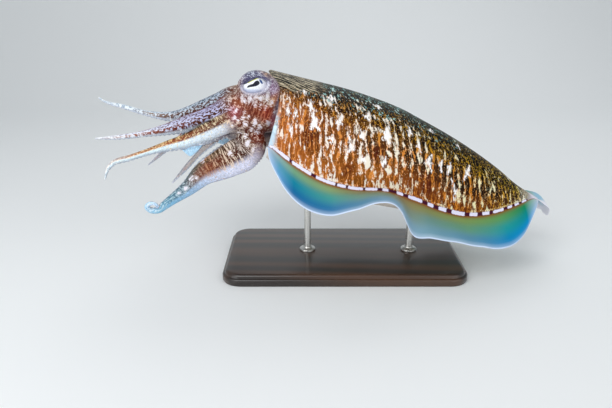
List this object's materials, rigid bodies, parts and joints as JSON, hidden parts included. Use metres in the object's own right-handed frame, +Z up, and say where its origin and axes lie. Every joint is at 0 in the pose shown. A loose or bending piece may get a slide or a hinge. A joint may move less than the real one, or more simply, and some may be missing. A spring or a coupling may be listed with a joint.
{
  "type": "male pharaoh cuttlefish, life-size display model",
  "caption": "Male pharaoh cuttlefish at life size, swimming with arms spread and tail low, zebra-striped, held on a flat base by slender rods.",
  "frame": {"origin": "middle of the underside of the stand's base, on the floor", "axes": "+X towards the animal's tail, -X towards its arms, -Y the animal's left side, +Z up"},
  "size_m": [0.4696, 0.1861, 0.2099],
  "materials": {
    "mantle_skin": "moist skin, zebra-striped in cream on red-brown",
    "fin_skin": "thin moist skin, olive at the root to blue at the edge",
    "head_skin": "moist skin, mottled red-brown and white",
    "funnel_skin": "moist pale skin",
    "mouth_skin": "moist pale pink skin",
    "eye": "clear cornea over silver iris and dark curved pupil",
    "stand_base": "dark stained, satin",
    "stand_rod": "brushed"
  },
  "bodies": {
    "root": {"arm_left_1_far": "head_skin", "arm_left_1_near": "head_skin", "arm_left_2_far": "head_skin", "arm_left_2_near": "head_skin", "arm_left_3_far": "head_skin", "arm_left_3_near": "head_skin", "arm_left_4_far": "head_skin", "arm_left_4_near": "head_skin", "arm_right_1_far": "head_skin", "arm_right_1_near": "head_skin", "arm_right_2_far": "head_skin", "arm_right_2_near": "head_skin", "arm_right_3_far": "head_skin", "arm_right_3_near": "head_skin", "arm_right_4_far": "head_skin", "arm_right_4_near": "head_skin", "eye_left": "eye", "eye_right": "eye", "fin_left_front": "fin_skin", "fin_left_middle": "fin_skin", "fin_left_rear": "fin_skin", "fin_right_front": "fin_skin", "fin_right_middle": "fin_skin", "fin_right_rear": "fin_skin", "funnel": "funnel_skin", "head": "head_skin", "mantle": "mantle_skin", "mouth": "mouth_skin", "stand_base": "stand_base", "stand_rod_front": "stand_rod", "stand_rod_rear": "stand_rod"}
  },
  "joints": []
}
